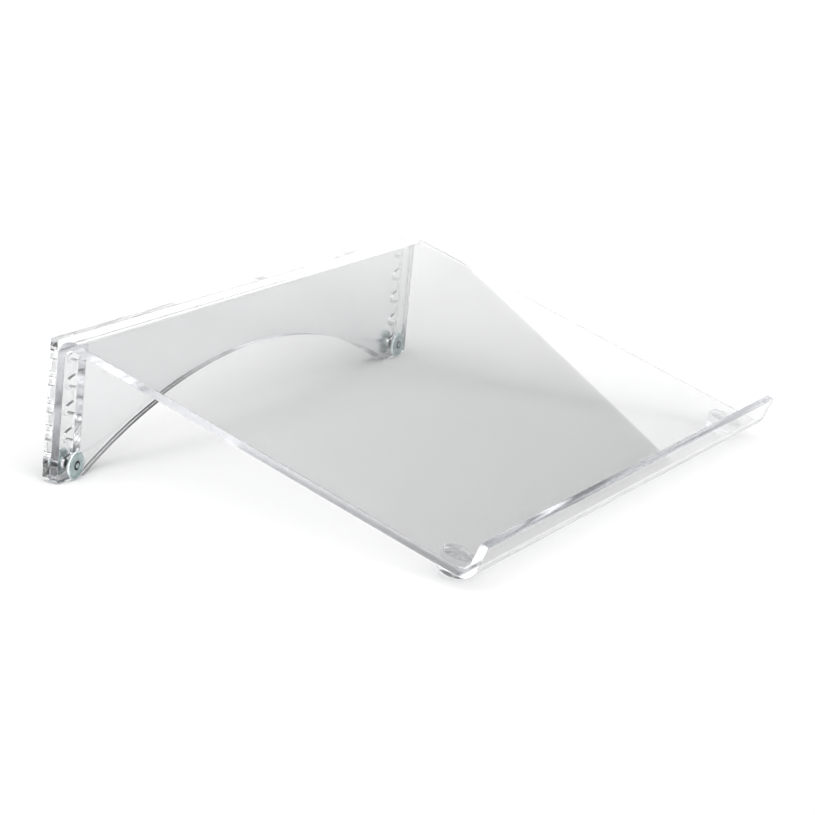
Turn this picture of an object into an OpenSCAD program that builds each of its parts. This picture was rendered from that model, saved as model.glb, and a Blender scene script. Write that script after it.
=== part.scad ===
// Sloped display rest made of clear cast sheet: one bent sheet with a front lip, a rear
// panel clamped to its rear flange by thumb screws and knurled nuts, two bumper feet.
// Millimetres, +Z up, +X along the width, +Y towards the back.
// The origin is under the middle of the overall box, on the floor.

/* [Sheet] */
// Width of the stand, end to end
width = 500; // [300:5:700]
// Thickness of the clear sheet
sheet_t = 6; // [4:0.5:8]
// Slope of the display plate, in degrees
slope = 16; // [10:0.5:30]
// Length of the display plate, from the lip to the top corner
plate_len = 330; // [220:1:420]
// Inside radius of both bends
bend_r = 5.5; // [3:0.5:10]
// Height of the plate's sharp top corner over the floor
corner_z = 105.93; // [90:0.1:140]

/* [Lip] */
// Height of the lip over the plate, on its inside
lip_h = 22.8; // [12:0.2:40]
// Lean of the lip away from a right angle to the plate
lip_lean = 5; // [0:0.5:15]
// Distance of the lip's sharp inner corner in front of the plate's start
lip_gap = 3.2; // [0:0.1:6]

/* [Rear panel] */
// Height of the rear panel
panel_h = 102; // [80:1:104]
// Clearance between the flange and the rear panel
panel_gap = 0.2; // [0.1:0.05:1]
// Height of the arch over the floor
arch_h = 52; // [20:0.5:70]
// Width of each leg beside the arch
leg_w = 32.5; // [20:0.5:60]
// Radius of the legs' lower outer corners
leg_corner_r = 5; // [1:0.5:8]
// Radius of the rear panel's upper corners
panel_corner_r = 1; // [0.5:0.5:5]

/* [Comb slots] */
// Distance between two height notches
notch_pitch = 19; // [12:0.5:19]
// Number of height notches at each end
notch_count = 5; // [2:1:5]
// Width of a notch
notch_w = 8.5; // [8.5:0.1:9]
// Width of the vertical slot
slot_w = 8.5; // [7:0.1:10]
// Distance from a notch's closed end to the middle of the vertical slot
notch_run = 10.35; // [9:0.05:13]
// Distance of a notch's closed end beyond the bolt, sideways
notch_reach = 3.1; // [0:0.1:3.5]
// Angle at which a notch drops from the vertical slot
notch_drop = 15; // [0:1:30]
// Height of the lowest notch's closed end over the bolt
notch_rise = 0.8; // [0:0.1:1]

/* [Thumb screws and knurled nuts] */
// Thread diameter
bolt_d = 5; // [4:1:6]
// Diameter of the bolt holes in the flange
bolt_hole_d = 5.6; // [5.2:0.1:7]
// Distance of the bolts from the ends
bolt_inset = 18.5; // [14:0.5:30]
// Height of the bolts over the floor
bolt_z = 11; // [10.5:0.1:20]
// Length of the screws under the head
bolt_len = 16; // [16:1:30]
// Diameter of the knurled heads
head_d = 20; // [16:1:24]
// Thickness of the knurled rim
rim_t = 3; // [2:0.1:5]
// Diameter of the collars under the rims
collar_d = 11; // [8:0.5:14]
// Thickness of a nut's collar
collar_t = 0.4; // [0.3:0.1:3]
// Thickness of a screw's collar
neck_t = 4; // [0.5:0.1:6]
// Depth of the countersink in a nut's face
countersink = 0.9; // [0:0.1:1.2]
// Number of ridges around a knurled head
knurl_count = 48; // [24:2:72]
// Depth of the knurl
knurl_depth = 0.4; // [0.2:0.05:0.6]

/* [Bumper feet] */
// Diameter of a foot where it is stuck on
foot_d = 22; // [16:1:26]
// Diameter of a foot at its free end
foot_tip_d = 20.8; // [14:0.2:24]
// Rounding of a foot's lower edge
foot_edge_r = 2; // [0.5:0.5:4]
// Distance of the feet from the ends
foot_inset = 24; // [16:1:60]
// Distance of the feet behind the lip, along the slope
foot_back = 15; // [13:0.5:40]

/* [Hidden] */
$fn = 96;

out_r = bend_r + sheet_t;
us = [cos(slope), sin(slope)];
un = [-sin(slope), cos(slope)];

// plate's start, and the rear face of the flange, before centring
plate_z = corner_z - plate_len * sin(slope);
rear_y = plate_len * cos(slope);
nut_t = collar_t + rim_t;
head_t = neck_t + rim_t;
seat = 0.05;
bore_r = bolt_d / 2 + 0.05;
front_y0 = -(lip_gap + lip_h * sin(lip_lean) + sheet_t * cos(lip_lean)) * cos(slope)
           - (lip_h * cos(lip_lean) - sheet_t * sin(lip_lean)) * sin(slope);
back_y0 = rear_y + panel_gap + sheet_t + seat + head_t;
mid_y = (front_y0 + back_y0) / 2;

p0 = [-mid_y, plate_z];
flange_y = rear_y - mid_y;
flange_front_y = flange_y - sheet_t;
panel_front_y = flange_y + panel_gap;
panel_rear_y = panel_front_y + sheet_t;

function at(s, n) = p0 + s * us + n * un;

// lip bend
lip_turn = 90 - lip_lean;
lip_tan = bend_r * tan(lip_turn / 2);
lip_c = at(lip_tan - lip_gap, bend_r);
lip_dir = 90 + slope + lip_lean;
ld = [cos(lip_dir), sin(lip_dir)];
lo = [cos(lip_dir + 90), sin(lip_dir + 90)];

// top bend
top_c = [flange_y - out_r, corner_z - out_r * tan(slope) - out_r / cos(slope)];
top_s = (top_c - p0) * us;

arch_half = width / 2 - leg_w;
arch_r = (arch_half * arch_half + arch_h * arch_h) / (2 * arch_h);
bolt_x = width / 2 - bolt_inset;

foot_tilt_z = (at(foot_back, -sheet_t))[1];
foot_h = foot_edge_r + (foot_tilt_z - foot_edge_r
         - (foot_tip_d / 2 - foot_edge_r) * sin(slope)) / cos(slope);

// what lies outside a bend, between its two end directions
module bend_waste(c, a0, a1)
{
    am = (a0 + a1) / 2;
    translate(c)
    difference()
    {
        polygon([[0, 0],
                 40 * [cos(a0), sin(a0)],
                 60 * [cos(am), sin(am)],
                 40 * [cos(a1), sin(a1)]]);
        circle(r = out_r);
    }
}

// the inside of a bend
module bend_inside(c)
{
    translate(c)
    circle(r = bend_r);
}

module sheet_profile()
{
    half_turn = (lip_dir + 90 + 270 + slope) / 2;
    difference()
    {
        polygon([lip_c + bend_r * lo + (lip_h - lip_tan) * ld,
                 lip_c + bend_r * lo,
                 at(lip_tan - lip_gap, 0),
                 [flange_y, corner_z],
                 [flange_y, 0],
                 [flange_front_y, 0],
                 top_c + bend_r * [1, 0],
                 top_c + bend_r * un,
                 lip_c + out_r / cos(lip_turn / 2) * [cos(half_turn), sin(half_turn)],
                 lip_c + out_r * lo + (lip_h - lip_tan) * ld]);
        bend_inside(lip_c);
        bend_inside(top_c);
        bend_waste(lip_c, lip_dir + 90, 270 + slope);
        bend_waste(top_c, 0, 90 + slope);
    }
}

// a flat outline in X and Z, pushed through from y0 to y1
module through(y0, y1)
{
    translate([0, y1, 0])
    rotate([90, 0, 0])
    linear_extrude(height = y1 - y0)
    children();
}

// waste outside a rounded corner; sx and sz point towards the corner
module corner_waste(x, z, sx, sz, r)
{
    translate([x, z])
    scale([sx, sz])
    translate([-r, -r])
    difference()
    {
        square([r + 1, r + 1]);
        circle(r = r);
    }
}

module arch_outline()
{
    translate([0, arch_h - arch_r])
    circle(r = arch_r, $fn = 720);
}

module leg_waste()
{
    corner_waste(-width / 2, 0, -1, -1, leg_corner_r);
    corner_waste(width / 2, 0, 1, -1, leg_corner_r);
}

// a straight slot with round ends
module round_slot(a, b, w)
{
    d = b - a;
    len_ab = norm(d);
    translate(a)
    circle(r = w / 2);
    translate(b)
    circle(r = w / 2);
    translate(a)
    rotate(atan2(d[1], d[0]))
    translate([0, -w / 2])
    square([len_ab, w]);
}

// one comb: a vertical slot with notches that drop towards -X; x is the bolt's place
module comb(x)
{
    end_x = x - notch_reach;
    slot_x = end_x + notch_run;
    z0 = bolt_z + notch_rise;
    zr = notch_run * tan(notch_drop);
    top = z0 + (notch_count - 1) * notch_pitch;
    round_slot([slot_x, z0 + zr], [slot_x, top + zr], slot_w);
    for (k = [0 : notch_count - 1])
    {
        round_slot([end_x, z0 + k * notch_pitch],
                   [slot_x, z0 + zr + k * notch_pitch], notch_w);
    }
}

module sheet()
{
    color("lightcyan", 0.4)
    difference()
    {
        rotate([90, 0, 90])
        linear_extrude(height = width, center = true)
        sheet_profile();

        through(flange_front_y - 1, flange_y + 1)
        arch_outline();

        through(flange_front_y - 1, flange_y + 1)
        leg_waste();

        for (x = [-bolt_x, bolt_x])
        {
            translate([x, flange_front_y - 1, bolt_z])
            rotate([-90, 0, 0])
            cylinder(d = bolt_hole_d, h = sheet_t + 2);
        }
    }
}

module rear_panel()
{
    color("lightcyan", 0.4)
    through(panel_front_y, panel_rear_y)
    difference()
    {
        translate([-width / 2, 0])
        square([width, panel_h]);
        arch_outline();
        leg_waste();
        corner_waste(-width / 2, panel_h, -1, 1, panel_corner_r);
        corner_waste(width / 2, panel_h, 1, 1, panel_corner_r);
        comb(-bolt_x);
        comb(bolt_x);
    }
}

// a knurled rim from z = 0 to z = rim_t, with bevelled edges
module knurled_rim()
{
    r = head_d / 2;
    n = knurl_count;
    intersection()
    {
        rotate_extrude()
        polygon([[0, 0], [r - 0.6, 0], [r + 0.1, 0.7], [r + 0.1, rim_t - 0.7],
                 [r - 0.6, rim_t], [0, rim_t]]);
        linear_extrude(height = rim_t)
        polygon([for (i = [0 : 2 * n - 1])
                 (i % 2 == 0 ? r : r - knurl_depth) * [cos(i * 180 / n), sin(i * 180 / n)]]);
    }
}

// nut on the front of the flange, collar against the sheet
module knurled_nut(x)
{
    translate([x, flange_front_y - seat, bolt_z])
    rotate([90, 0, 0])
    difference()
    {
        union()
        {
            cylinder(d = collar_d, h = collar_t + 0.2);
            translate([0, 0, collar_t])
            knurled_rim();
        }
        translate([0, 0, -1])
        cylinder(r = bore_r, h = nut_t + 2);
        translate([0, 0, nut_t - countersink])
        cylinder(r1 = bore_r, r2 = bore_r + countersink + 0.01, h = countersink + 0.01);
    }
}

// screw put in from the back, head behind the rear panel
module thumb_screw(x)
{
    translate([x, panel_rear_y + seat, bolt_z])
    rotate([-90, 0, 0])
    union()
    {
        cylinder(d = collar_d, h = neck_t + 0.2);
        translate([0, 0, neck_t])
        knurled_rim();
        translate([0, 0, -bolt_len + 0.5])
        cylinder(d = bolt_d, h = bolt_len);
        translate([0, 0, -bolt_len])
        cylinder(d1 = bolt_d - 1, d2 = bolt_d, h = 0.5);
    }
}

// bumper stuck square to the plate's underside; its lower edge meets the floor
module bumper(x)
{
    c = at(foot_back, -sheet_t);
    ra = foot_d / 2;
    rb = foot_tip_d / 2;
    translate([x, c[0], c[1]])
    rotate([180 + slope, 0, 0])
    union()
    {
        cylinder(r1 = ra, r2 = rb, h = foot_h - foot_edge_r);
        translate([0, 0, foot_h - foot_edge_r])
        rotate_extrude()
        union()
        {
            square([rb - foot_edge_r, foot_edge_r]);
            translate([rb - foot_edge_r, 0])
            intersection()
            {
                circle(r = foot_edge_r);
                square([foot_edge_r, foot_edge_r]);
            }
        }
    }
}

module nut_left()
{
    color("lightsteelblue")
    knurled_nut(-bolt_x);
}

module nut_right()
{
    color("lightsteelblue")
    knurled_nut(bolt_x);
}

module screw_left()
{
    color("lightslategray")
    thumb_screw(-bolt_x);
}

module screw_right()
{
    color("lightslategray")
    thumb_screw(bolt_x);
}

module foot_left()
{
    color("gainsboro")
    bumper(foot_inset - width / 2);
}

module foot_right()
{
    color("gainsboro")
    bumper(width / 2 - foot_inset);
}

sheet();
rear_panel();
nut_left();
nut_right();
screw_left();
screw_right();
foot_left();
foot_right();
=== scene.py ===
import bmesh
import bpy
import math
from mathutils import Matrix, Vector
from mathutils.geometry import tessellate_polygon


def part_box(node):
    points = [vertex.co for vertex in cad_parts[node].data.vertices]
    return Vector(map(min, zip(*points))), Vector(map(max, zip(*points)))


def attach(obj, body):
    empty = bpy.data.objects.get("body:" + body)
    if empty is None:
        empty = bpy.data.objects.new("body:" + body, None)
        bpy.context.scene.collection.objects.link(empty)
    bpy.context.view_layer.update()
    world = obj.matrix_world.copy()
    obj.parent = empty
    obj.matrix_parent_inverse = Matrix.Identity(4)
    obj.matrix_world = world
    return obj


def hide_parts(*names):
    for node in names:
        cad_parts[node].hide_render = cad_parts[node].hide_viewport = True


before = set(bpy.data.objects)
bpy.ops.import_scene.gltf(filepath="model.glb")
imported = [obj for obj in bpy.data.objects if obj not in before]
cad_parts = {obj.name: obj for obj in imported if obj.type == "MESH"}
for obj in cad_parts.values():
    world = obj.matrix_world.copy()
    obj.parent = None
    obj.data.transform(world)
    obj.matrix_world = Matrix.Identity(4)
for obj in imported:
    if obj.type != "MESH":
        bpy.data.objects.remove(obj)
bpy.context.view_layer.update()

MM = 0.001

# ---------------------------------------------------------------- sizes, as in the part's source (mm)
WIDTH = 500.0
T = 6.0
SLOPE = math.radians(16.0)
PLATE = 330.0
BEND = 5.5
CORNER_Z = 105.93
LIP_H = 22.8
LIP_LEAN = math.radians(5.0)
LIP_GAP = 3.2
PANEL_H = 102.0
ARCH_H = 52.0
LEG_W = 32.5
LEG_R = 5.0
PANEL_R = 1.0
PITCH = 19.0
NOTCHES = 5
NOTCH_W = 8.5
SLOT_W = 8.5
NOTCH_RUN = 10.35
NOTCH_REACH = 3.1
NOTCH_DROP = math.radians(15.0)
NOTCH_RISE = 0.8
HOLE_R = 2.8
BOLT_X = 231.5
BOLT_Z = 11.0
BOLT_LEN = 16.0
BOLT_R = 2.5
THREAD = 0.8
HEAD_R = 10.0
RIM = 3.0
COLLAR_R = 5.5
COLLAR = 0.4
NECK = 4.0
COUNTERSINK = 0.9
SEAT = 0.05
FOOT_R = 11.0
FOOT_TIP_R = 10.4
FOOT_EDGE = 2.0
FOOT_X = 226.0
FOOT_BACK = 15.0
RIDGES = 56                                 # knurl teeth round a rim
KNURL_DEPTH = 0.42
THREAD_DEPTH = 0.42
ROUNDING = 0.3                              # polished bevel on the sheets' cut edges
BEVEL_STEPS = 2
SLAB_SMOOTH = 15.0                          # degrees; sharper edges stay sharp
HARDWARE_SMOOTH = 34.0
FOOT_SMOOTH = 30.0

OUT = BEND + T
MID = BEND + T / 2
US = Vector((math.cos(SLOPE), math.sin(SLOPE)))
UN = Vector((-math.sin(SLOPE), math.cos(SLOPE)))
sheet_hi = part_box("sheet")[1]
panel_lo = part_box("rear_panel")[0]
FLANGE_Y = sheet_hi.y / MM                  # rear face of the flange
P0 = Vector((FLANGE_Y - PLATE * math.cos(SLOPE), CORNER_Z - PLATE * math.sin(SLOPE)))
PANEL_Y = panel_lo.y / MM                   # front face of the rear panel
LIP_TURN = math.pi / 2 - LIP_LEAN
LIP_TAN = BEND * math.tan(LIP_TURN / 2)
LIP_DIR = math.pi / 2 + SLOPE + LIP_LEAN
LD = Vector((math.cos(LIP_DIR), math.sin(LIP_DIR)))
LO = Vector((-math.sin(LIP_DIR), math.cos(LIP_DIR)))
ARCH_HALF = WIDTH / 2 - LEG_W
ARCH_R = (ARCH_HALF ** 2 + ARCH_H ** 2) / (2 * ARCH_H)


def at(s, n):
    return P0 + s * US + n * UN


LIP_C = at(LIP_TAN - LIP_GAP, BEND)
TOP_C = Vector((FLANGE_Y - OUT, CORNER_Z - OUT * math.tan(SLOPE) - OUT / math.cos(SLOPE)))
TOP_S = (TOP_C - P0).dot(US)
TOP_TURN = math.pi / 2 + SLOPE


# ---------------------------------------------------------------- small mesh helpers
def make_object(name, verts, faces, scale=MM):
    mesh = bpy.data.meshes.new(name)
    mesh.from_pydata([tuple(c * scale for c in v) for v in verts], [], faces)
    mesh.update()
    obj = bpy.data.objects.new(name, mesh)
    bpy.context.scene.collection.objects.link(obj)
    return obj


def tidy_mesh(obj, smooth_below):
    """Outward normals, smooth shading with sharp edges above an angle in degrees."""
    bm = bmesh.new()
    bm.from_mesh(obj.data)
    bmesh.ops.remove_doubles(bm, verts=bm.verts, dist=1e-7)
    bmesh.ops.recalc_face_normals(bm, faces=bm.faces)
    limit = math.radians(smooth_below)
    for f in bm.faces:
        f.smooth = True
    for e in bm.edges:
        e.smooth = len(e.link_faces) == 2 and e.calc_face_angle(0.0) < limit
    bm.to_mesh(obj.data)
    bm.free()
    return obj


def offset_loop(points, d):
    """Moves a closed counter-clockwise outline inwards by d."""
    n = len(points)
    out = []
    for i in range(n):
        a, b, c = points[i - 1], points[i], points[(i + 1) % n]
        e1 = Vector((b[0] - a[0], b[1] - a[1])).normalized()
        e2 = Vector((c[0] - b[0], c[1] - b[1])).normalized()
        n1 = Vector((-e1.y, e1.x))
        n2 = Vector((-e2.y, e2.x))
        m = n1 + n2
        m = m / max(m.length_squared / 2, 1e-6)
        out.append((b[0] + m.x * d, b[1] + m.y * d))
    return out


def arc(cx, cy, r, a0, a1, n):
    return [(cx + r * math.cos(a0 + (a1 - a0) * i / n), cy + r * math.sin(a0 + (a1 - a0) * i / n))
            for i in range(n + 1)]


def slab(name, outline, holes, place, strips=0):
    """A sheet T thick from its flat outline. place(x, s, h) puts a point of the flat sheet in space.
    outline[0], [1], .. [strips - 1] run down the left side and outline[-1], [-2], .. down the right;
    they pair up as rows across the bends. Cut edges get the second material."""
    verts, faces = [], []
    half = T / 2
    levels = []
    for k in range(BEVEL_STEPS + 1):
        a = math.pi / 2 * k / BEVEL_STEPS
        levels.append((ROUNDING * (1 - math.sin(a)), half - ROUNDING * (1 - math.cos(a))))
    rings = [(d, h) for d, h in levels] + [(d, -h) for d, h in reversed(levels)]
    loops = [outline] + holes
    index = []
    for pts in loops:
        rows = []
        for d, h in rings:
            ring = offset_loop(pts, d)
            start = len(verts)
            verts.extend(place(p[0], p[1], h) for p in ring)
            rows.append(list(range(start, start + len(ring))))
        index.append(rows)
        n = len(pts)
        for a, b in zip(rows, rows[1:]):
            for i in range(n):
                j = (i + 1) % n
                faces.append((a[i], a[j], b[j], b[i]))
    cut_faces = len(faces)
    for level in (0, -1):
        ring = index[0][level]
        flat = offset_loop(outline, rings[level][0])
        n = len(ring)
        for i in range(strips - 1):
            quad = (ring[i], ring[i + 1], ring[n - 2 - i], ring[n - 1 - i])
            faces.append(quad)
        keep = list(range(max(strips - 1, 0), n - max(strips - 1, 0)))
        polys = [[Vector((flat[i][0], flat[i][1], 0)) for i in keep]]
        ids = [ring[i] for i in keep]
        for pts, rows in zip(holes, index[1:]):
            hole = offset_loop(pts, rings[level][0])
            polys.append([Vector((p[0], p[1], 0)) for p in hole])
            ids.extend(rows[level])
        for tri in tessellate_polygon(polys):
            faces.append(tuple(ids[i] for i in tri))
    obj = make_object(name, verts, faces)
    for poly in obj.data.polygons[:cut_faces]:
        poly.material_index = 1
    return tidy_mesh(obj, SLAB_SMOOTH)


def lathe(profile, n, radius=None):
    """Turns (r, z) points round Z; radius(r, z, angle) may shape the wall. Ends on the axis close."""
    verts, faces, rows = [], [], []
    for r, z in profile:
        if r <= 0:
            rows.append([len(verts)])
            verts.append((0, 0, z))
            continue
        row = []
        for i in range(n):
            a = 2 * math.pi * i / n
            q = radius(r, z, a) if radius else r
            row.append(len(verts))
            verts.append((q * math.cos(a), q * math.sin(a), z))
        rows.append(row)
    for a, b in zip(rows, rows[1:]):
        for i in range(n):
            j = (i + 1) % n
            if len(a) == 1 and len(b) == 1:
                continue
            if len(a) == 1:
                faces.append((a[0], b[i], b[j]))
            elif len(b) == 1:
                faces.append((a[i], a[j], b[0]))
            else:
                faces.append((a[i], a[j], b[j], b[i]))
    if len(rows[0]) > 1 and len(rows[-1]) > 1:      # a closed ring: join the last row to the first
        a, b = rows[-1], rows[0]
        for i in range(n):
            j = (i + 1) % n
            faces.append((a[i], a[j], b[j], b[i]))
    return verts, faces


def join_parts(name, parts, smooth_below):
    verts, faces = [], []
    for v, f in parts:
        base = len(verts)
        verts.extend(v)
        faces.extend(tuple(i + base for i in q) for q in f)
    obj = make_object(name, verts, faces)
    return tidy_mesh(obj, smooth_below)


# ---------------------------------------------------------------- the bent sheet
def sheet_place(x, s, h):
    """(x, distance along the middle of the sheet from the lip's free edge, height over the middle)."""
    lip_len = LIP_H - LIP_TAN
    a1 = MID * LIP_TURN
    plate_len = TOP_S - (LIP_TAN - LIP_GAP)
    a2 = MID * TOP_TURN
    if s <= lip_len:
        p = LIP_C + (MID - h) * LO + (lip_len - s) * LD
    elif s <= lip_len + a1:
        ang = (LIP_DIR + math.pi / 2) + (s - lip_len) / MID
        p = LIP_C + (MID - h) * Vector((math.cos(ang), math.sin(ang)))
    elif s <= lip_len + a1 + plate_len:
        p = at(LIP_TAN - LIP_GAP + s - lip_len - a1, -T / 2 + h)
    elif s <= lip_len + a1 + plate_len + a2:
        ang = TOP_TURN - (s - lip_len - a1 - plate_len) / MID
        p = TOP_C + (MID + h) * Vector((math.cos(ang), math.sin(ang)))
    else:
        d = s - lip_len - a1 - plate_len - a2
        p = Vector((FLANGE_Y - T / 2 + h, TOP_C.y - d))
    return (x, p.x, p.y)


def leg_outline(bottom):
    """Down round the left leg, along the arch and up the right leg; s grows downwards."""
    pts = []
    w = WIDTH / 2
    pts += [(-w + LEG_R - LEG_R * math.cos(a), bottom - LEG_R + LEG_R * math.sin(a))
            for a in [math.pi / 2 * i / 10 for i in range(11)]]
    half = math.asin(ARCH_HALF / ARCH_R)
    for i in range(121):
        a = -half + 2 * half * i / 120
        pts.append((ARCH_R * math.sin(a), bottom - (ARCH_H - ARCH_R + ARCH_R * math.cos(a))))
    pts += [(w - LEG_R + LEG_R * math.sin(a), bottom - LEG_R + LEG_R * math.cos(a))
            for a in [math.pi / 2 * i / 10 for i in range(11)]]
    return pts


def sheet_mesh():
    lip_len = LIP_H - LIP_TAN
    a1 = MID * LIP_TURN
    plate_len = TOP_S - (LIP_TAN - LIP_GAP)
    a2 = MID * TOP_TURN
    s1, s2, s3, s4 = lip_len, lip_len + a1, lip_len + a1 + plate_len, lip_len + a1 + plate_len + a2
    rows = [0.0, s1 - 0.15, s1]
    rows += [s1 + a1 * i / 28 for i in range(1, 28)]
    rows += [s2, s2 + 0.15, s3 - 0.15, s3]
    rows += [s3 + a2 * i / 36 for i in range(1, 36)]
    rows += [s4, s4 + 0.15]
    bottom = s4 + TOP_C.y
    left = [(-WIDTH / 2, s) for s in rows]
    right = [(WIDTH / 2, s) for s in reversed(rows)]
    outline = left + leg_outline(bottom) + right
    # the outline is clockwise in (x, s) seen with s up, so s is mirrored to turn it round
    flip = [(x, -s) for x, s in outline]
    holes = [[(sx * BOLT_X + HOLE_R * math.cos(-a), -(bottom - BOLT_Z) + HOLE_R * math.sin(-a))
              for a in [2 * math.pi * i / 48 for i in range(48)]] for sx in (-1, 1)]
    return slab("sheet_clear", flip, holes, lambda x, s, h: sheet_place(x, -s, h), strips=len(rows))


# ---------------------------------------------------------------- the rear panel with its combs
def comb_outline(bolt_x):
    """Closed outline of one comb slot, clockwise so that it is a hole."""
    x0 = bolt_x - NOTCH_REACH
    z0 = BOLT_Z + NOTCH_RISE
    zr = NOTCH_RUN * math.tan(NOTCH_DROP)
    cx = x0 + NOTCH_RUN
    top = z0 + (NOTCHES - 1) * PITCH + zr
    low = z0 + zr
    wall = cx - SLOT_W / 2
    r = NOTCH_W / 2
    d = Vector((math.cos(NOTCH_DROP), math.sin(NOTCH_DROP)))
    n = Vector((-d.y, d.x))
    pts = []
    # right wall downwards, from the slot's round top
    pts += arc(cx, top, SLOT_W / 2, math.pi / 2 + NOTCH_DROP, 0, 14)
    pts += arc(cx, low, SLOT_W / 2, 0, NOTCH_DROP - math.pi / 2, 14)
    for k in range(NOTCHES):
        c = Vector((x0, z0 + k * PITCH))
        lower = c - r * n
        upper = c + r * n
        t = (wall - lower.x) / d.x
        if k > 0:
            pts.append((wall, lower.y + t * d.y))
        pts += [(c.x + r * math.cos(a), c.y + r * math.sin(a))
                for a in [math.radians(-90) + NOTCH_DROP - math.pi * i / 16 for i in range(17)]]
        t = (wall - upper.x) / d.x
        if k < NOTCHES - 1:
            pts.append((wall, upper.y + t * d.y))
    return pts


def panel_mesh():
    w = WIDTH / 2
    legs = [(x, PANEL_H - s) for x, s in leg_outline(PANEL_H)]
    top = [(w - PANEL_R + PANEL_R * math.cos(a), PANEL_H - PANEL_R + PANEL_R * math.sin(a))
           for a in [math.pi / 2 * i / 5 for i in range(6)]]
    top += [(-w + PANEL_R - PANEL_R * math.sin(a), PANEL_H - PANEL_R + PANEL_R * math.cos(a))
            for a in [math.pi / 2 * i / 5 for i in range(6)]]
    holes = [comb_outline(-BOLT_X), comb_outline(BOLT_X)]
    y = PANEL_Y + T / 2
    return slab("rear_panel_clear", legs + top, holes, lambda x, z, h: (x, y + h, z))


# ---------------------------------------------------------------- knurled nuts and thumb screws
def knurl(r, z, a):
    """Straight knurl: a rounded tooth wave on the rim, fading out on the bevels."""
    depth = KNURL_DEPTH * max(0.0, min(1.0, (r - (HEAD_R - 0.75)) / 0.45))
    t = (a * RIDGES / (2 * math.pi)) % 1.0
    wave = abs(2 * t - 1)
    return r - depth * wave ** 1.3


def rim_profile(z0, inner):
    z1 = z0 + RIM
    return [(inner, z0), (HEAD_R - 2.2, z0), (HEAD_R - 1.1, z0 + 0.05), (HEAD_R - 0.65, z0 + 0.25),
            (HEAD_R - 0.2, z0 + 0.6), (HEAD_R, z0 + 0.85), (HEAD_R, z0 + RIM / 2), (HEAD_R, z1 - 0.85),
            (HEAD_R - 0.2, z1 - 0.6), (HEAD_R - 0.65, z1 - 0.25), (HEAD_R - 1.1, z1 - 0.05),
            (HEAD_R - 2.2, z1)]


def thread_wave(z, a):
    t = ((z - THREAD * a / (2 * math.pi)) / THREAD) % 1.0
    return max(0.0, min(1.0, (abs(2 * t - 1) - 0.12) / 0.76))


def nut_mesh(name):
    top = COLLAR + RIM
    bore = BOLT_R + 0.04
    prof = [(bore + 0.45, 0.0), (COLLAR_R - 0.25, 0.0), (COLLAR_R, 0.25), (COLLAR_R, COLLAR - 0.1),
            (COLLAR_R + 0.2, COLLAR)]
    prof += rim_profile(COLLAR, COLLAR_R + 0.6)[1:]
    prof += [(bore + 1.6, top), (bore + COUNTERSINK, top)]
    prof += [(bore + COUNTERSINK - COUNTERSINK * i / 3, top - COUNTERSINK * i / 3) for i in range(1, 4)]
    steps = 20
    deep = top - COUNTERSINK - 0.5
    prof += [(bore, top - COUNTERSINK - deep * i / steps) for i in range(1, steps)]
    prof += [(bore, 0.5), (bore + 0.25, 0.22)]

    def shape(r, z, a):
        if r > HEAD_R - 0.75:
            return knurl(r, z, a)
        if abs(r - bore) < 1e-6:
            return bore + 0.35 * thread_wave(z, a)
        return r
    return join_parts(name, [lathe(prof, RIDGES * 4, shape)], HARDWARE_SMOOTH)


def screw_mesh(name):
    """Built with the head's seat at z = 0, the head above and the thread below."""
    head = NECK + RIM
    prof = [(0, head), (HEAD_R * 0.42, head), (HEAD_R * 0.55, head - 0.22)]
    prof += [(HEAD_R - 2.4, head - 0.22), (HEAD_R - 2.0, head)]
    prof += [(r, z) for r, z in reversed(rim_profile(NECK, COLLAR_R))][1:-1]
    prof += [(COLLAR_R + 0.2, NECK), (COLLAR_R, NECK - 0.2), (COLLAR_R, 0.25),
             (COLLAR_R - 0.25, 0.0), (BOLT_R, 0.0)]
    tip = -BOLT_LEN
    steps = int((BOLT_LEN - 1.0) / (THREAD / 8))
    prof += [(BOLT_R, -0.4 - (BOLT_LEN - 1.0) * i / steps) for i in range(steps + 1)]
    prof += [(BOLT_R - 0.35, tip + 0.25), (BOLT_R - 0.75, tip), (0, tip)]

    def shape(r, z, a):
        if r > HEAD_R - 0.75:
            return knurl(r, z, a)
        if abs(r - BOLT_R) < 1e-6 and z < -0.3:
            return BOLT_R - THREAD_DEPTH * (1 - thread_wave(z, a))
        return r
    return join_parts(name, [lathe(prof, RIDGES * 2, shape)], HARDWARE_SMOOTH)


def put(obj, origin, turn):
    obj.matrix_world = Matrix.Translation([c * MM for c in origin]) @ turn
    obj.data.transform(obj.matrix_world)
    obj.matrix_world = Matrix.Identity(4)
    obj.data.update()
    return obj


# ---------------------------------------------------------------- bumper feet
def foot_height():
    z = at(FOOT_BACK, -T).y
    return FOOT_EDGE + (z - FOOT_EDGE - (FOOT_TIP_R - FOOT_EDGE) * math.sin(SLOPE)) / math.cos(SLOPE)


def foot_mesh(name):
    h = foot_height()
    prof = [(0, 0.0), (FOOT_R - 0.3, 0.0), (FOOT_R - 0.06, 0.1), (FOOT_R, 0.35), (FOOT_R - 0.02, 0.6)]
    n = 10
    wall = h - FOOT_EDGE
    prof += [(FOOT_R - 0.02 - (FOOT_R - 0.02 - FOOT_TIP_R) * i / 6, 0.6 + (wall - 0.6) * i / 6)
             for i in range(1, 7)]
    prof += [(FOOT_TIP_R - FOOT_EDGE + FOOT_EDGE * math.cos(a), wall + FOOT_EDGE * math.sin(a))
             for a in [math.pi / 2 * i / n for i in range(1, n + 1)]]
    prof += [(FOOT_TIP_R - FOOT_EDGE - 0.5, h), (FOOT_TIP_R - FOOT_EDGE - 1.2, h - 0.12),
             (4.0, h - 0.2), (0, h - 0.2)]
    return join_parts(name, [lathe(prof, 96)], FOOT_SMOOTH)


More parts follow.
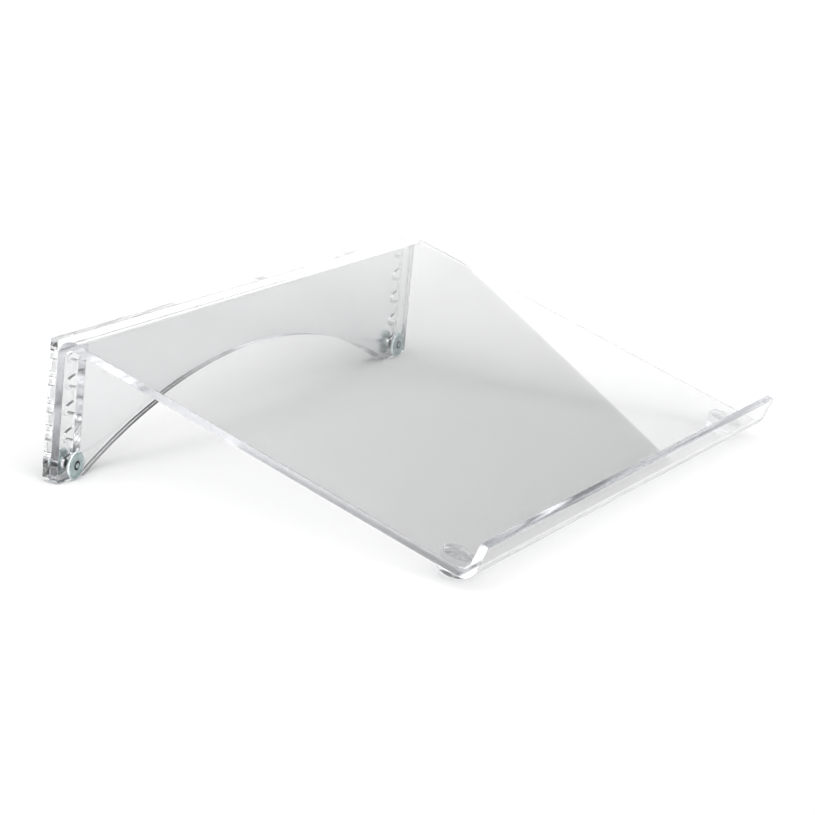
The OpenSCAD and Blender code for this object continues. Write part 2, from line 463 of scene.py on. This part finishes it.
# ---------------------------------------------------------------- materials
def new_material(name):
    m = bpy.data.materials.new(name)
    m.use_nodes = True
    nt = m.node_tree
    nt.nodes.clear()
    return m, nt


def node(nt, kind):
    return nt.nodes.new(kind)


def clear_material(name, color, rough, ior, shade, wave, density, soft=0.0):
    """Clear plastic that lets lamps through: a real glass shader for what is seen, a tinted
    see-through one for shadows."""
    m, nt = new_material(name)
    out = node(nt, "ShaderNodeOutputMaterial")
    p = node(nt, "ShaderNodeBsdfPrincipled")
    p.inputs["Base Color"].default_value = (*color, 1)
    p.inputs["Roughness"].default_value = rough
    p.inputs["IOR"].default_value = ior
    p.inputs["Transmission Weight"].default_value = 1.0
    co = node(nt, "ShaderNodeTexCoord")
    big = node(nt, "ShaderNodeTexNoise")
    big.inputs["Scale"].default_value = 9.0
    big.inputs["Detail"].default_value = 2.0
    fine = node(nt, "ShaderNodeTexNoise")
    fine.inputs["Scale"].default_value = 900.0
    fine.inputs["Detail"].default_value = 3.0
    nt.links.new(co.outputs["Object"], big.inputs["Vector"])
    nt.links.new(co.outputs["Object"], fine.inputs["Vector"])
    b1 = node(nt, "ShaderNodeBump")
    b1.inputs["Strength"].default_value = wave
    b1.inputs["Distance"].default_value = 0.001
    b2 = node(nt, "ShaderNodeBump")
    b2.inputs["Strength"].default_value = wave * 0.02 + soft
    b2.inputs["Distance"].default_value = 0.00004
    nt.links.new(big.outputs["Fac"], b1.inputs["Height"])
    nt.links.new(fine.outputs["Fac"], b2.inputs["Height"])
    nt.links.new(b1.outputs["Normal"], b2.inputs["Normal"])
    nt.links.new(b2.outputs["Normal"], p.inputs["Normal"])
    ramp = node(nt, "ShaderNodeMapRange")
    ramp.inputs["From Min"].default_value = 0.45
    ramp.inputs["From Max"].default_value = 0.8
    ramp.inputs["To Min"].default_value = rough
    ramp.inputs["To Max"].default_value = rough + 0.02
    nt.links.new(big.outputs["Fac"], ramp.inputs["Value"])
    nt.links.new(ramp.outputs["Result"], p.inputs["Roughness"])
    see = node(nt, "ShaderNodeBsdfTransparent")
    see.inputs["Color"].default_value = (*shade, 1)
    path = node(nt, "ShaderNodeLightPath")
    mix = node(nt, "ShaderNodeMixShader")
    nt.links.new(path.outputs["Is Shadow Ray"], mix.inputs[0])
    nt.links.new(p.outputs[0], mix.inputs[1])
    nt.links.new(see.outputs[0], mix.inputs[2])
    nt.links.new(mix.outputs[0], out.inputs["Surface"])
    if density:
        v = node(nt, "ShaderNodeVolumeAbsorption")
        v.inputs["Color"].default_value = (0.55, 0.58, 0.64, 1)
        v.inputs["Density"].default_value = density
        nt.links.new(v.outputs[0], out.inputs["Volume"])
    return m


def plated_material(name, light, dark):
    """Zinc-plated turned steel: cloudy tint, duller in the lighter patches, fine grain bump."""
    m, nt = new_material(name)
    out = node(nt, "ShaderNodeOutputMaterial")
    p = node(nt, "ShaderNodeBsdfPrincipled")
    p.inputs["Metallic"].default_value = 1.0
    co = node(nt, "ShaderNodeTexCoord")
    cloud = node(nt, "ShaderNodeTexNoise")
    cloud.inputs["Scale"].default_value = 240.0
    cloud.inputs["Detail"].default_value = 4.0
    nt.links.new(co.outputs["Object"], cloud.inputs["Vector"])
    ramp = node(nt, "ShaderNodeValToRGB")
    ramp.color_ramp.elements[0].position = 0.32
    ramp.color_ramp.elements[0].color = (*dark, 1)
    ramp.color_ramp.elements[1].position = 0.68
    ramp.color_ramp.elements[1].color = (*light, 1)
    nt.links.new(cloud.outputs["Fac"], ramp.inputs["Fac"])
    nt.links.new(ramp.outputs["Color"], p.inputs["Base Color"])
    rr = node(nt, "ShaderNodeMapRange")
    rr.inputs["To Min"].default_value = 0.14
    rr.inputs["To Max"].default_value = 0.30
    nt.links.new(cloud.outputs["Fac"], rr.inputs["Value"])
    nt.links.new(rr.outputs["Result"], p.inputs["Roughness"])
    fine = node(nt, "ShaderNodeTexNoise")
    fine.inputs["Scale"].default_value = 2600.0
    nt.links.new(co.outputs["Object"], fine.inputs["Vector"])
    b = node(nt, "ShaderNodeBump")
    b.inputs["Strength"].default_value = 0.25
    b.inputs["Distance"].default_value = 0.00005
    nt.links.new(fine.outputs["Fac"], b.inputs["Height"])
    nt.links.new(b.outputs["Normal"], p.inputs["Normal"])
    nt.links.new(p.outputs[0], out.inputs["Surface"])
    return m


IOR_SHEET = 1.49
SHEET_SHADE = (0.935, 0.935, 0.937)
PANEL_TINT = (0.985, 0.988, 0.99)
PANEL_SHADE = (0.94, 0.94, 0.942)
WAVE = 0.012
DENSITY = 0.8

# the bent sheet's grey tint is painted shade: it darkens the floor seen through the plate as that
# floor's shadow; the rear panel keeps the acrylic's own faint tint
sheet_acrylic_painted_shade = clear_material(
    "clear_sheet", (0.825, 0.828, 0.83), 0.0, IOR_SHEET, SHEET_SHADE, WAVE, DENSITY)
acrylic_panel = clear_material(
    "clear_panel", PANEL_TINT, 0.0, IOR_SHEET, PANEL_SHADE, WAVE, DENSITY)
sheet_cut = clear_material(
    "clear_sheet_cut", (0.93, 0.932, 0.934), 0.12, IOR_SHEET, SHEET_SHADE, WAVE, DENSITY)
panel_cut = clear_material(
    "clear_panel_cut", PANEL_TINT, 0.02, IOR_SHEET, PANEL_SHADE, WAVE, DENSITY)
bumper = clear_material(
    "clear_bumper", (0.97, 0.975, 0.975), 0.06, 1.48, (0.8, 0.8, 0.8), 0.02, 6.0, 0.12)
zinc_nut = plated_material("plated_nut", (0.47, 0.55, 0.545), (0.24, 0.31, 0.31))
zinc_screw = plated_material("plated_screw", (0.55, 0.64, 0.635), (0.22, 0.29, 0.29))
# painted highlight: a brighter copy of the zinc plating for the knurled rims, where they catch the
# light
knurl_painted_highlight = plated_material("plated_knurl_painted_highlight", (0.88, 0.92, 0.92), (0.55, 0.62, 0.62))
# painted shade: a near-black copy of the zinc plating for the threads, the nut's bore and its
# countersink, shade in the holes between the parts
thread_painted_shade = plated_material("thread_painted_shade", (0.12, 0.13, 0.13), (0.035, 0.04, 0.04))


def finish_hardware(obj, sx, thread_r):
    """Painted highlight on the rim: a brighter copy of the zinc where the knurl catches the light.
    Painted shade on the threads, bore and countersink in front of the screw's seat: a near-black copy
    of the zinc.
    """
    obj.data.materials.append(knurl_painted_highlight)
    obj.data.materials.append(thread_painted_shade)
    for poly in obj.data.polygons:
        c = poly.center / MM
        r = math.hypot(c.x - sx * BOLT_X, c.z - BOLT_Z)
        if r > HEAD_R - 0.7:
            poly.material_index = 1
        # painted shade on the threads and countersink
        elif thread_r < r < BOLT_R + COUNTERSINK + 0.05 and c.y < PANEL_Y + T:
            poly.material_index = 2


def finish_piece(obj, material, body, cad_node):
    obj.data.materials.append(material)
    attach(obj, body)
    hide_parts(cad_node)


sheet = sheet_mesh()
finish_piece(sheet, sheet_acrylic_painted_shade, "sheet", "sheet")
sheet.data.materials.append(sheet_cut)
panel = panel_mesh()
finish_piece(panel, acrylic_panel, "rear_panel", "rear_panel")
panel.data.materials.append(panel_cut)

front = Matrix.Rotation(math.radians(90), 4, "X")       # +Z of a turned piece towards -Y
back = Matrix.Rotation(math.radians(-90), 4, "X")       # +Z of a turned piece towards +Y
for side, sx in (("left", -1), ("right", 1)):
    nut = put(nut_mesh("nut_" + side + "_knurled"), (sx * BOLT_X, FLANGE_Y - T - SEAT, BOLT_Z), front)
    finish_piece(nut, zinc_nut, "nut_" + side, "nut_" + side)
    finish_hardware(nut, sx, 0.0)
    screw = put(screw_mesh("screw_" + side + "_threaded"),
                (sx * BOLT_X, PANEL_Y + T + SEAT, BOLT_Z), back)
    finish_piece(screw, zinc_screw, "screw_" + side, "screw_" + side)
    finish_hardware(screw, sx, BOLT_R - 0.8)
    c = at(FOOT_BACK, -T)
    foot = put(foot_mesh("foot_" + side + "_bumper"), (sx * FOOT_X, c.x, c.y),
               Matrix.Rotation(math.pi + SLOPE, 4, "X"))
    finish_piece(foot, bumper, "sheet", "foot_" + side)


# ---------------------------------------------------------------- floor, light and camera
def stage_plane(name, corners, color):
    obj = make_object(name, corners, [tuple(range(len(corners)))], 1.0)
    m, nt = new_material(name + "_mat")
    out = node(nt, "ShaderNodeOutputMaterial")
    p = node(nt, "ShaderNodeBsdfPrincipled")
    p.inputs["Base Color"].default_value = (*color, 1)
    p.inputs["Roughness"].default_value = 0.9
    p.inputs["Specular IOR Level"].default_value = 0.0
    nt.links.new(p.outputs[0], out.inputs["Surface"])
    obj.data.materials.append(m)
    return obj


stage_plane("floor", [(-40, -40, 0), (40, -40, 0), (40, 40, 0), (-40, 40, 0)], (0.9, 0.9, 0.9))

# a studio dome: a wide bright cap overhead towards the front left, a pale band up to about 20
# degrees over the floor, a dark room above it, and a glowing strip of wall towards the rear
world = bpy.data.worlds.new("studio")
bpy.context.scene.world = world
world.use_nodes = True
wt = world.node_tree
where = wt.nodes.new("ShaderNodeTexCoord")
split = wt.nodes.new("ShaderNodeSeparateXYZ")
wt.links.new(where.outputs["Generated"], split.inputs[0])


SKY_STRENGTH = 1.88


def sky_ramp(source, stops):
    r = wt.nodes.new("ShaderNodeValToRGB")
    wt.links.new(source, r.inputs["Fac"])
    while len(r.color_ramp.elements) < len(stops):
        r.color_ramp.elements.new(0.5)
    for e, (pos, v) in zip(r.color_ramp.elements, stops):
        e.position = pos
        e.color = (v, v, v, 1)
    return r.outputs["Color"]


key = wt.nodes.new("ShaderNodeVectorMath")
key.operation = "DOT_PRODUCT"
key.inputs[1].default_value = Vector((-0.45, -0.35, 0.82)).normalized()
wt.links.new(where.outputs["Generated"], key.inputs[0])
cap = sky_ramp(key.outputs["Value"], ((0.0, 0.0), (0.50, 0.0), (0.64, 1.0), (1.0, 1.0)))
band = sky_ramp(split.outputs["Z"], (
    (0.0, 0.48), (0.32, 0.48), (0.385, 0.04), (0.46, 0.01), (1.0, 0.01)))
wall = sky_ramp(split.outputs["Y"], (
    (0.0, 0.0), (0.16, 0.0), (0.20, 0.10), (0.25, 0.32), (0.29, 0.72), (1.0, 0.72)))
wall_top = sky_ramp(split.outputs["Z"], (
    (0.0, 0.0), (0.38, 0.0), (0.40, 1.0), (0.415, 1.0), (0.44, 0.6), (0.50, 0.6), (0.56, 0.0),
    (1.0, 0.0)))


def sky_mix(kind, a, b):
    mix = wt.nodes.new("ShaderNodeMix")
    mix.data_type = "RGBA"
    mix.blend_type = kind
    mix.inputs[0].default_value = 1.0
    wt.links.new(a, mix.inputs[6])
    wt.links.new(b, mix.inputs[7])
    return mix.outputs[2]


glow = sky_mix("MULTIPLY", wall, wall_top)
wt.links.new(sky_mix("ADD", sky_mix("ADD", cap, band), glow), wt.nodes["Background"].inputs[0])
wt.nodes["Background"].inputs[1].default_value = SKY_STRENGTH


def card(name, centre, target, sx, sy, radiance):
    """A lit white card of a given brightness that faces the target."""
    light = bpy.data.lights.new(name, "AREA")
    light.shape = "RECTANGLE"
    light.size = sx
    light.size_y = sy
    light.energy = radiance * math.pi * sx * sy
    obj = bpy.data.objects.new(name, light)
    bpy.context.scene.collection.objects.link(obj)
    obj.location = centre
    obj.rotation_euler = (Vector(target) - Vector(centre)).to_track_quat("-Z", "Y").to_euler()
    return obj


# a white card at the right whose upper edge is mirrored in the plate as the diagonal
card("side_card", (1.5, 0.2, 0.334), (0.0, 0.2, 0.334), 3.0, 0.668, 1.1)

# the camera stands to the left of the front and a little above; solved together with the shape
SENSOR = 36.0
LENS = 124.615215
AZ, EL, ROLL = math.radians(-63.23), math.radians(15.30), math.radians(5.57)
away = Vector((math.sin(AZ) * math.cos(EL), -math.cos(AZ) * math.cos(EL), math.sin(EL)))
across = Vector((0, 0, 1)).cross(away).normalized()
upward = away.cross(across)
right = across * math.cos(ROLL) + upward * math.sin(ROLL)
up = upward * math.cos(ROLL) - across * math.sin(ROLL)
plate_front_y = FLANGE_Y - PLATE * math.cos(SLOPE)
eye = Vector((-1786.08, -725.11 + plate_front_y, 582.00)) * MM
camera = bpy.data.cameras.new("camera")
camera.sensor_width = SENSOR
camera.lens = LENS
camera.clip_start = 0.05
cam = bpy.data.objects.new("camera", camera)
bpy.context.scene.collection.objects.link(cam)
rot = Matrix((right, up, away)).transposed().to_4x4()
cam.matrix_world = Matrix.Translation(eye) @ rot
bpy.context.scene.camera = cam
bpy.context.scene.view_settings.view_transform = "Standard"

# light runs along inside the sheets for many reflections before it leaves a cut edge
EDGE_BOUNCES = 96
cycles = bpy.context.scene.cycles
cycles.max_bounces = EDGE_BOUNCES
cycles.transmission_bounces = EDGE_BOUNCES
cycles.glossy_bounces = EDGE_BOUNCES
cycles.transparent_max_bounces = 24
